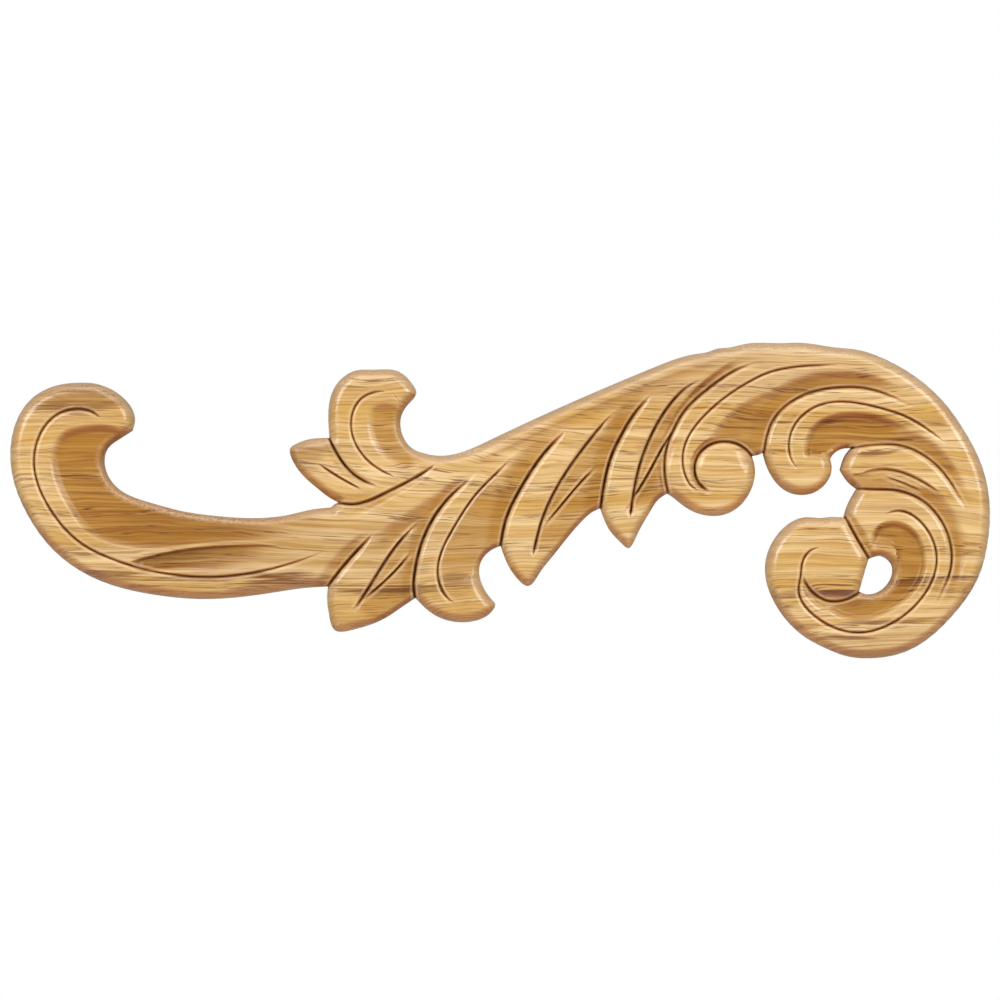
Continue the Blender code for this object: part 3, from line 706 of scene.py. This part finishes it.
# %% Oak: colours and sizes of its figure
OAK = {
    # the wood: summer wood, broad bands and fine fibres in it, open pores and mineral streaks, with one
    # patch of painted shade among them
    "pale": "#EAC993", "middle": "#D2A559", "deep": "#AC772C", "pore": "#764311", "streak": "#743F14",
    # glaze that was wiped off all but the grooves, with a thin halo beside them, both partly painted
    # shade
    "glaze_and_shade": "#351A09", "halo_and_shade": "#9C5F28",
    # dust and painted sheen on the rims, paler where they face up, brown low on the rounded edge, and a
    # painted highlight on the crests beside the grooves
    "rim": "#C4A07C", "arris": "#A0703F", "painted_highlight": "#F0D2A4",
    # two colours multiplied over what they lie on: glaze and painted shade in the hollows, and painted
    # shade on what faces down
    "hollow": "#C29F35", "underside_shade": "#E0B880",
}
# Noise cells are length, depth and height in millimetres. A bend of the layers is a cell and its
# sway, and a set of pore threads is the cell of the threads and the cell of the gaps in them
BENDS = (((120, 40, 40), 5.0), ((24, 8, 6), 0.7))
THREADS = (((85, 16, 1.5), (16, 8, 0.8)), ((48, 10, 0.9), (9, 6, 0.6)))
# How near to the middle of its noise a thread lies, which draws it as wide as the render can show
THREAD_WIDTH = 0.028
# How many millimetres the layers fall for each one further into the board
LAYER_TILT = 0.2
# Depth of the pores in millimetres, and how much of it the satin varnish leaves open
PORE_DEPTH = 0.1
PORE_RELIEF = 0.4
OAK_IOR = 1.5
OAK_SPECULAR = 0.3
# Roughness of the sawn sides and back, of the sanded wood in front, and of the varnish over that
SAWN_ROUGHNESS = 0.65
SANDED_ROUGHNESS = 0.36
VARNISH_ROUGHNESS = 0.22
# Dark streaks: middle in X and Z, half length and half height in millimetres, and strength
# All are mineral streaks but the patch at (-59, 14), which is painted shade beside the spur's vein
STREAKS = (
    (-82, -23.3, 32, 1.0, 1.0), (-64, -25.2, 18, 1.2, 1.0), (-119, -22.6, 13, 1.6, 0.7),
    (-33, -27.0, 22, 1.9, 0.85), (103.5, -27.5, 8.5, 1.9, 1.0), (88, -28.6, 5, 1.4, 0.7),
    (125, -25.3, 9, 1.3, 0.9), (134, -24.4, 15, 0.8, 1.0), (105, -41.5, 12, 0.7, 0.8),
    (124, -37.3, 17, 0.6, 0.7), (-128, 31.0, 15, 5.5, 0.75), (-100, -17.2, 12, 0.7, 0.6),
    (40, 22.0, 30, 0.5, 0.5), (-59, 14, 9, 4, 0.4), (-72, -14, 60, 16, 0.25), (62, 38, 62, 9, 0.25),
    (118, -44, 26, 6, 0.2), (-13, -24.7, 6, 4, 0.5), (-25, -20.5, 4, 2, 0.4),
)


def stretched(tree, where, cell, **noise):
    """Noise whose blobs have this length, depth and height in millimetres."""
    scaled = add(tree, VECTOR, {0: where, 1: [1 / c for c in cell]}, operation="MULTIPLY")
    return add(tree, "ShaderNodeTexNoise", {"Vector": scaled, "Scale": 1.0, **noise})


# %% Oak: the layers of the wood, its streaks and its pores
def grain_space(tree):
    """Place on the board in millimetres, and the same with the layers bent and tilted."""
    place = add(tree, "ShaderNodeTexCoord").outputs["Object"]
    place = add(tree, VECTOR, {0: place, 3: 1 / MM}, operation="SCALE")
    depth = add(tree, "ShaderNodeSeparateXYZ", {0: place}).outputs["Y"]
    bend = add(tree, MATH, {0: depth, 1: LAYER_TILT}, operation="MULTIPLY")
    for cell, sway in BENDS:
        wave = stretched(tree, place, cell, Detail=1.0)
        wave = add(tree, RANGE, {0: wave, 1: 0.2, 2: 0.8, 3: -sway, 4: sway}, **EASED)
        bend = add(tree, MATH, {0: bend, 1: wave}, operation="ADD")
    offset = add(tree, "ShaderNodeCombineXYZ", {"Z": bend})
    return place, add(tree, VECTOR, {0: place, 1: offset}, operation="ADD")


def streaks(tree, place):
    """Where the few dark streaks of this board lie, from 0 to 1, one of them painted shade."""
    wander = stretched(tree, place, (40, 10, 12), Detail=2.0)
    wander = add(tree, RANGE, {0: wander, 1: 0.3, 2: 0.7, 3: -0.9, 4: 0.9}, **EASED)
    offset = add(tree, "ShaderNodeCombineXYZ", {"Z": wander})
    at = add(tree, VECTOR, {0: place, 1: offset}, operation="ADD")
    frayed = stretched(tree, place, (40, 8, 0.45), Detail=2.0)
    frayed = add(tree, RANGE, {0: frayed, 1: 0.3, 2: 0.7, 3: -0.4, 4: 0.4}, **EASED)
    marks = 0.0
    for x, z, half_length, half_height, strength in STREAKS:
        shares = (1 / half_length, 0, 1 / half_height)
        off = add(tree, VECTOR, {0: at, 1: (x, 0, z)}, operation="SUBTRACT")
        off = add(tree, VECTOR, {0: off, 1: shares}, operation="MULTIPLY")
        far = add(tree, VECTOR, {0: off}, operation="LENGTH")
        far = add(tree, MATH, {0: far, 1: frayed}, operation="ADD")
        mark = add(tree, RANGE, {0: far, 1: 1.1, 2: 0.6, 3: 0.0, 4: strength}, **EASED)
        marks = add(tree, MATH, {0: marks, 1: mark}, operation="MAXIMUM")
    ragged = stretched(tree, place, (30, 6, 0.9), Detail=4.0, Roughness=0.65)
    ragged = add(tree, RANGE, {0: ragged, 1: 0.36, 2: 0.56, 3: 0.4, 4: 1.0}, **EASED)
    return add(tree, MATH, {0: marks, 1: ragged}, operation="MULTIPLY")


def pores(tree, where):
    """The open pores: long threads where noise crosses its middle, broken up and crowded in bands."""
    found = 0.0
    for cell, gap in THREADS:
        level = stretched(tree, where, cell, Detail=2.0, Roughness=0.6)
        level = add(tree, MATH, {0: level, 1: 0.5}, operation="SUBTRACT")
        level = add(tree, MATH, {0: level}, operation="ABSOLUTE")
        thread = add(tree, RANGE, {0: level, 1: THREAD_WIDTH, 2: THREAD_WIDTH * 0.3}, **EASED)
        broken = stretched(tree, where, gap, Detail=2.0)
        broken = add(tree, RANGE, {0: broken, 1: 0.42, 2: 0.56}, **EASED)
        thread = add(tree, MATH, {0: thread, 1: broken}, operation="MULTIPLY")
        found = add(tree, MATH, {0: found, 1: thread}, operation="MAXIMUM")
    crowd = stretched(tree, where, (130, 8, 3.4), Detail=2.0)
    crowd = add(tree, RANGE, {0: crowd, 1: 0.36, 2: 0.62, 3: 0.1, 4: 1.0}, **EASED)
    return add(tree, MATH, {0: found, 1: crowd}, operation="MULTIPLY")


# %% Oak: where each colour lies
def shares_of(tree, said, place, where):
    """How much of each colour lies at a point, from the lowest colour to the one on top."""
    bands = stretched(tree, where, (160, 20, 4.5), Detail=3.0, Roughness=0.6)
    fibre = stretched(tree, where, (80, 6, 0.7), Detail=4.0, Roughness=0.75)
    cloud = stretched(tree, place, (9, 5, 2.5), Detail=3.0)
    dust = stretched(tree, place, (0.9, 0.9, 0.5), Detail=2.0, Roughness=0.7)
    normal = add(tree, "ShaderNodeNewGeometry").outputs["Normal"]
    up = add(tree, "ShaderNodeSeparateXYZ", {0: normal}).outputs["Z"]
    patchy = add(tree, RANGE, {0: cloud, 1: 0.3, 2: 0.65, 3: 0.55, 4: 1.0}, **EASED)
    dusty = add(tree, RANGE, {0: dust, 1: 0.38, 2: 0.58, 3: 0.2, 4: 0.95}, **EASED)
    # Dust, with painted sheen: the rim colour is strongest where the rims face up
    dust_and_top_sheen = add(tree, RANGE, {0: up, 1: -0.2, 2: 0.4, 3: 0.15, 4: 1.0}, **EASED)
    dust_and_top_sheen = add(tree, MATH, {0: dusty, 1: dust_and_top_sheen}, operation="MULTIPLY")
    closed = add(tree, RANGE, {0: said["rim"], 1: 0.03, 2: 0.3, 3: 0.85, 4: 0.25}, **EASED)
    rim = add(tree, RANGE, {0: said["rim"], 1: 0.03, 2: 0.14}, **EASED)
    # Glaze in the grooves and its halo, partly real glaze and partly painted shade of the grooves
    halo_and_shade = add(tree, RANGE, {0: said["groove"], 1: 0.05, 2: 0.8, 3: 0.0, 4: 0.8}, **EASED)
    glaze_and_shade = add(tree, RANGE, {0: said["groove"], 1: 0.6, 2: 2.0, 3: 0.0, 4: 0.95}, **EASED)
    # Painted highlight on the crest beside each groove
    painted_highlight = add(tree, MATH, {0: said["painted_highlight"], 1: 0.5}, operation="MULTIPLY")
    return {
        "middle": add(tree, RANGE, {0: bands, 1: 0.34, 2: 0.66}, **EASED),
        "deep": add(tree, RANGE, {0: fibre, 1: 0.44, 2: 0.68, 3: 0.0, 4: 0.8}, **EASED),
        "streak": streaks(tree, place),
        "pore": add(tree, MATH, {0: pores(tree, where), 1: closed}, operation="MULTIPLY"),
        # Glaze and painted shade in the hollows, by their depth
        "hollow": add(tree, RANGE, {0: said["hollow"], 1: 0.0, 2: 1.35, 3: 0.0, 4: 0.83}),
        # Painted shade on what faces down
        "underside_shade": add(tree, RANGE, {0: up, 1: -0.1, 2: -0.6}, **EASED),
        "rim": add(tree, MATH, {0: rim, 1: dust_and_top_sheen}, operation="MULTIPLY"),
        "arris": add(tree, RANGE, {0: said["rim"], 1: 0.75, 2: 1.0, 3: 0.0, 4: 0.5}, **EASED),
        "painted_highlight": add(tree, MATH, {0: painted_highlight, 1: patchy}, operation="MULTIPLY"),
        "halo_and_shade": add(tree, MATH, {0: halo_and_shade, 1: patchy}, operation="MULTIPLY"),
        "glaze_and_shade": add(tree, MATH, {0: glaze_and_shade, 1: patchy}, operation="MULTIPLY"),
    }


# %% Oak: the colours laid over each other, and varnish over it all
def oak(name):
    """Glazed oak with a satin varnish on its carved front, and bare on its sawn sides and back."""
    material = bpy.data.materials.new(name)
    material.use_nodes = True
    tree = material.node_tree
    shader = tree.nodes["Principled BSDF"]
    place, where = grain_space(tree)
    said = {word: add(tree, "ShaderNodeAttribute", attribute_name=word).outputs["Fac"]
            for word in FINISH}
    shares = shares_of(tree, said, place, where)
    colour = linear(OAK["pale"])
    for word, share in shares.items():
        mode = "MULTIPLY" if word in ("hollow", "underside_shade") else "MIX"
        colour = add(tree, "ShaderNodeMix", {0: share, 6: colour, 7: linear(OAK[word])},
                     data_type="RGBA", blend_type=mode)
    sunk = {"Strength": PORE_RELIEF, "Distance": PORE_DEPTH * MM, "Height": shares["pore"]}
    bump = add(tree, "ShaderNodeBump", sunk, invert=True)
    dull = add(tree, RANGE, {0: said["hollow"], 1: 0.0, 2: 0.6, 3: 1.0, 4: 0.3}, **EASED)
    varnish = add(tree, RANGE, {0: said["groove"], 1: 0.1, 2: 1.2, 3: 1.0, 4: 0.05}, **EASED)
    varnish = add(tree, MATH, {0: varnish, 1: dull}, operation="MULTIPLY")
    level = add(tree, "ShaderNodeSeparateXYZ", {0: place}).outputs["Y"]
    foot = EDGE_DROP - THICKNESS
    front = add(tree, RANGE, {0: level, 1: foot, 2: foot - 1}, **EASED)
    rough = add(tree, RANGE, {0: front, 1: 0.0, 2: 1.0, 3: SAWN_ROUGHNESS, 4: SANDED_ROUGHNESS})
    varnish = add(tree, MATH, {0: varnish, 1: front}, operation="MULTIPLY")
    tree.links.new(colour.outputs[2], shader.inputs["Base Color"])
    tree.links.new(bump.outputs[0], shader.inputs["Normal"])
    tree.links.new(varnish.outputs[0], shader.inputs["Coat Weight"])
    tree.links.new(rough.outputs[0], shader.inputs["Roughness"])
    shader.inputs["IOR"].default_value = OAK_IOR
    shader.inputs["Specular IOR Level"].default_value = OAK_SPECULAR
    shader.inputs["Coat Roughness"].default_value = VARNISH_ROUGHNESS
    return material


oak_varnished = oak("oak_satin_varnish")
print(oak_varnished.name, len(oak_varnished.node_tree.nodes), "nodes")

# %% [markdown]
# ## The sanded surface
#
# A hand-held carving is never quite even: sanding leaves slow swells a few hundredths of a
# millimetre high, which break up the highlights. A small Geometry Nodes tree moves the points of the
# carved face by such a noise. A Displace modifier could do it too, but it would also move the back.

# %% Geometry Nodes: the sander's swells
# Sizes in metres, and the seed of the noise
SWELLS = (("Swell height", 0.06 * MM), ("Swell length", 11 * MM), ("Seed", 4.0))


def sanding_tree(name, material):
    """Geometry Nodes that sink the front of a piece by slow swells, and give it its finish."""
    tree = bpy.data.node_groups.new(name, "GeometryNodeTree")
    tree.interface.new_socket("Geometry", in_out="INPUT", socket_type="NodeSocketGeometry")
    for word, value in SWELLS:
        socket = tree.interface.new_socket(word, in_out="INPUT", socket_type="NodeSocketFloat")
        socket.default_value = value
    tree.interface.new_socket("Geometry", in_out="OUTPUT", socket_type="NodeSocketGeometry")
    given = add(tree, "NodeGroupInput")
    place = add(tree, "GeometryNodeInputPosition")
    scale = add(tree, MATH, {0: 1.0, 1: given.outputs["Swell length"]}, operation="DIVIDE")
    noise = add(tree, "ShaderNodeTexNoise",
                {"Vector": place, "W": given.outputs["Seed"], "Scale": scale, "Detail": 2.0},
                noise_dimensions="4D")
    level = add(tree, MATH, {0: noise, 1: 0.5}, operation="SUBTRACT")
    swell = add(tree, MATH, {0: level, 1: given.outputs["Swell height"]}, operation="MULTIPLY")
    facing = add(tree, "ShaderNodeSeparateXYZ", {0: add(tree, "GeometryNodeInputNormal")}).outputs["Y"]
    front = add(tree, RANGE, {0: facing, 1: -0.2, 2: -0.7})
    swell = add(tree, MATH, {0: swell, 1: front}, operation="MULTIPLY")
    sunk = add(tree, MATH, {0: swell}, operation="ABSOLUTE")
    offset = add(tree, "ShaderNodeCombineXYZ", {"Y": sunk})
    whole = given.outputs["Geometry"]
    moved = add(tree, "GeometryNodeSetPosition", {"Geometry": whole, "Offset": offset})
    real = add(tree, "GeometryNodeRealizeInstances", {0: moved})
    dressed = add(tree, "GeometryNodeSetMaterial", {0: real, "Material": material})
    add(tree, "NodeGroupOutput", {0: dressed})
    return tree


def sanded(piece, tree):
    """The piece with the tree's result as its plain mesh."""
    modifier = piece.modifiers.new("sanding", "NODES")
    modifier.node_group = tree
    seen = piece.evaluated_get(bpy.context.evaluated_depsgraph_get())
    mesh = bpy.data.meshes.new_from_object(seen)
    piece.modifiers.remove(modifier)
    old = piece.data
    piece.data = mesh
    bpy.data.meshes.remove(old)
    mesh.name = piece.name
    return piece


scroll = sanded(scroll, sanding_tree("sanding_swells", oak_varnished))
print("sanded", len(scroll.data.vertices), "vertices,", [slot.name for slot in scroll.material_slots])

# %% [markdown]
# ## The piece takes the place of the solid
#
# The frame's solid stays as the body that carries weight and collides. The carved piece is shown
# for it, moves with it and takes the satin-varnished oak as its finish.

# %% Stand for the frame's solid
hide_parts("carved_scroll")
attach(scroll, "root")
print("size of the piece in mm", [round(v / MM, 2) for v in scroll.dimensions])

# %% [markdown]
# ## Floor, light and camera
#
# Small glossy carvings are photographed in a white tent: a broad soft light on each side to draw the
# rims and the steps of the leaves, and a weaker one above. The tent is a white world that is darker
# below, so undersides stay brown, and brighter behind, so the back can be seen too. The scroll is
# held by its back, so the floor lies under it.

# %% Floor
# In metres: the size of the card, and its middle, well below the scroll
FLOOR_SIZE = (1.6, 1.2)
FLOOR_PLACE = (0, -0.3, -0.21)
CARD = "#EDEBE8"
CARD_ROUGHNESS = 0.9


def pale_floor():
    """A sheet of matt pale card."""
    work = bmesh.new()
    bmesh.ops.create_grid(work, x_segments=1, y_segments=1, size=0.5)
    mesh = bpy.data.meshes.new("pale_floor")
    work.to_mesh(mesh)
    work.free()
    floor = bpy.data.objects.new("pale_floor", mesh)
    floor.scale = (*FLOOR_SIZE, 1)
    floor.location = FLOOR_PLACE
    material = bpy.data.materials.new("matt_card")
    material.use_nodes = True
    shader = material.node_tree.nodes["Principled BSDF"]
    shader.inputs["Base Color"].default_value = linear(CARD)
    shader.inputs["Roughness"].default_value = CARD_ROUGHNESS
    mesh.materials.append(material)
    bpy.context.scene.collection.objects.link(floor)
    return floor


pale_floor()

# %% Lights and the white tent
# Each light's name, its place and width in metres, and its watts
SOFT_LIGHTS = (
    ("left_softbox", (-0.46, -0.56, 0.26), 0.40, 2.9),
    ("right_softbox", (0.46, -0.56, 0.24), 0.40, 2.75),
    ("top_softbox", (0.0, -0.40, 0.62), 0.5, 1.7),
)
# Strength of the tent's light from above, from below, and what is added from behind
TENT_WHITE = 0.19
TENT_BELOW = 0.01
TENT_BEHIND = 0.25
WHITE = linear("#FFFFFF")

for name, place, size, watts in SOFT_LIGHTS:
    light = bpy.data.lights.new(name, "AREA")
    light.size = size
    light.energy = watts
    lamp = bpy.data.objects.new(name, light)
    lamp.location = place
    lamp.rotation_euler = (-Vector(place)).to_track_quat("-Z", "Y").to_euler()
    bpy.context.scene.collection.objects.link(lamp)

world = bpy.data.worlds.new("white_tent")
world.use_nodes = True
bpy.context.scene.world = world
tree = world.node_tree
tree.nodes.clear()
toward = add(tree, "ShaderNodeTexCoord").outputs["Generated"]
toward = add(tree, "ShaderNodeSeparateXYZ", {0: toward})
behind = add(tree, RANGE, {0: toward.outputs["Y"], 1: 0.2, 2: 0.9, 4: TENT_BEHIND})
tent = add(tree, RANGE, {0: toward.outputs["Z"], 1: -0.8, 2: 0.3, 3: TENT_BELOW, 4: TENT_WHITE})
tent = add(tree, MATH, {0: tent, 1: behind}, operation="ADD")
lit = add(tree, "ShaderNodeBackground", {"Color": WHITE, "Strength": tent})
seen = add(tree, "ShaderNodeBackground", {"Color": WHITE, "Strength": 1.0})
to_eye = add(tree, "ShaderNodeLightPath").outputs["Is Camera Ray"]
shown = add(tree, "ShaderNodeMixShader", {0: to_eye, 1: lit, 2: seen})
add(tree, "ShaderNodeOutputWorld", {0: shown})
bpy.context.scene.view_settings.view_transform = "Standard"
print(len(SOFT_LIGHTS), "soft lights in a white tent")

# %% Camera, square to the back and far off
# Lens and sensor in millimetres, and the photograph's width in units of the pattern
LENS = 200.0
SENSOR = 36.0
FRAME_UNITS = 1000
camera_data = bpy.data.cameras.new("photo_camera")
camera_data.lens = LENS
camera_data.sensor_width = SENSOR
camera = bpy.data.objects.new("photo_camera", camera_data)
# The outline is seen at the foot of the rounded edge, so the frame is filled at that depth
outline_y = -(THICKNESS - EDGE_DROP) * MM
camera.location.x = (FRAME_UNITS / 2 - MIDDLE[0]) * UNIT * MM
camera.location.y = outline_y - FRAME_UNITS * UNIT * MM * LENS / SENSOR
camera.location.z = (MIDDLE[1] - FRAME_UNITS / 2) * UNIT * MM
camera.rotation_euler = (math.pi / 2, 0, 0)
bpy.context.scene.collection.objects.link(camera)
bpy.context.scene.camera = camera
print("camera", [round(v, 4) for v in camera.location])
